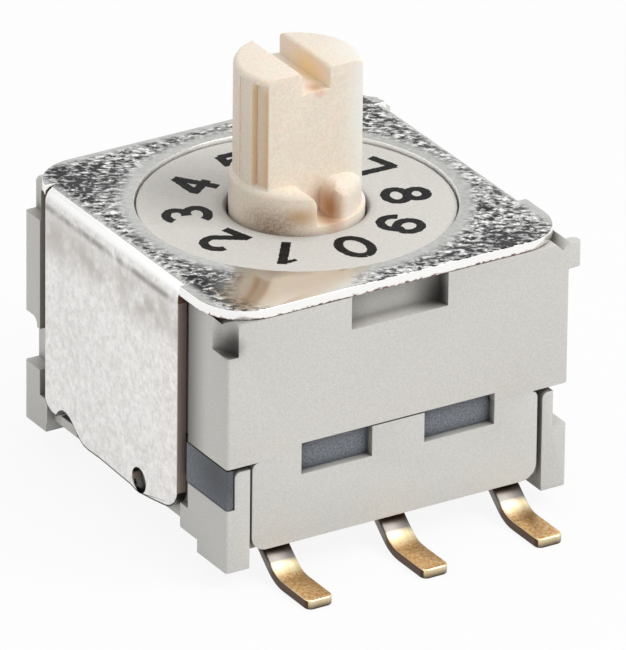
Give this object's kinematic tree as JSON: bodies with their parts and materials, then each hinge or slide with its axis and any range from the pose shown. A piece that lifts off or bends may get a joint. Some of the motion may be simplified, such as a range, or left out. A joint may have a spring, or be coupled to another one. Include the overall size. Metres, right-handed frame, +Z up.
{
  "type": "rotary dip switch",
  "caption": "Square surface-mount rotary coding switch with a folded metal cover, a numbered dial, a slotted D-shaft and gull-wing terminals at front and back",
  "frame": {"origin": "on the board plane, under the shaft axis", "axes": "+Z up along the shaft, -Y towards the front face and the number 0 of the dial, +X to the right"},
  "size_m": [0.0078, 0.0104, 0.0087],
  "materials": {
    "cover_sheet": "bright rolled sheet",
    "housing_plastic": "fine matte moulding",
    "base_plastic": "fine matte moulding",
    "carrier_plastic": "dark matte moulding",
    "shaft_plastic": "natural polymer, satin",
    "gold_plate": "gold plated, rolled",
    "seal_rubber": "matte",
    "spring_steel": "rolled strip"
  },
  "bodies": {
    "body": {"cover": "cover_sheet", "housing": "housing_plastic", "base": "base_plastic", "contact_block": "carrier_plastic", "o_ring": "seal_rubber", "detent_spring": "spring_steel", "terminal_front_left": "gold_plate", "terminal_front_middle": "gold_plate", "terminal_front_right": "gold_plate", "terminal_back_left": "gold_plate", "terminal_back_middle": "gold_plate", "terminal_back_right": "gold_plate"},
    "rotor": {"shaft": "shaft_plastic", "wiper": "gold_plate"}
  },
  "joints": [
    {"name": "shaft_turn", "type": "hinge", "parent": "body", "child": "rotor", "pos_m": [0, 0, 0.0055], "axis": [0, 0, -1], "continuous": true, "deforming": ["detent_spring"]}
  ]
}
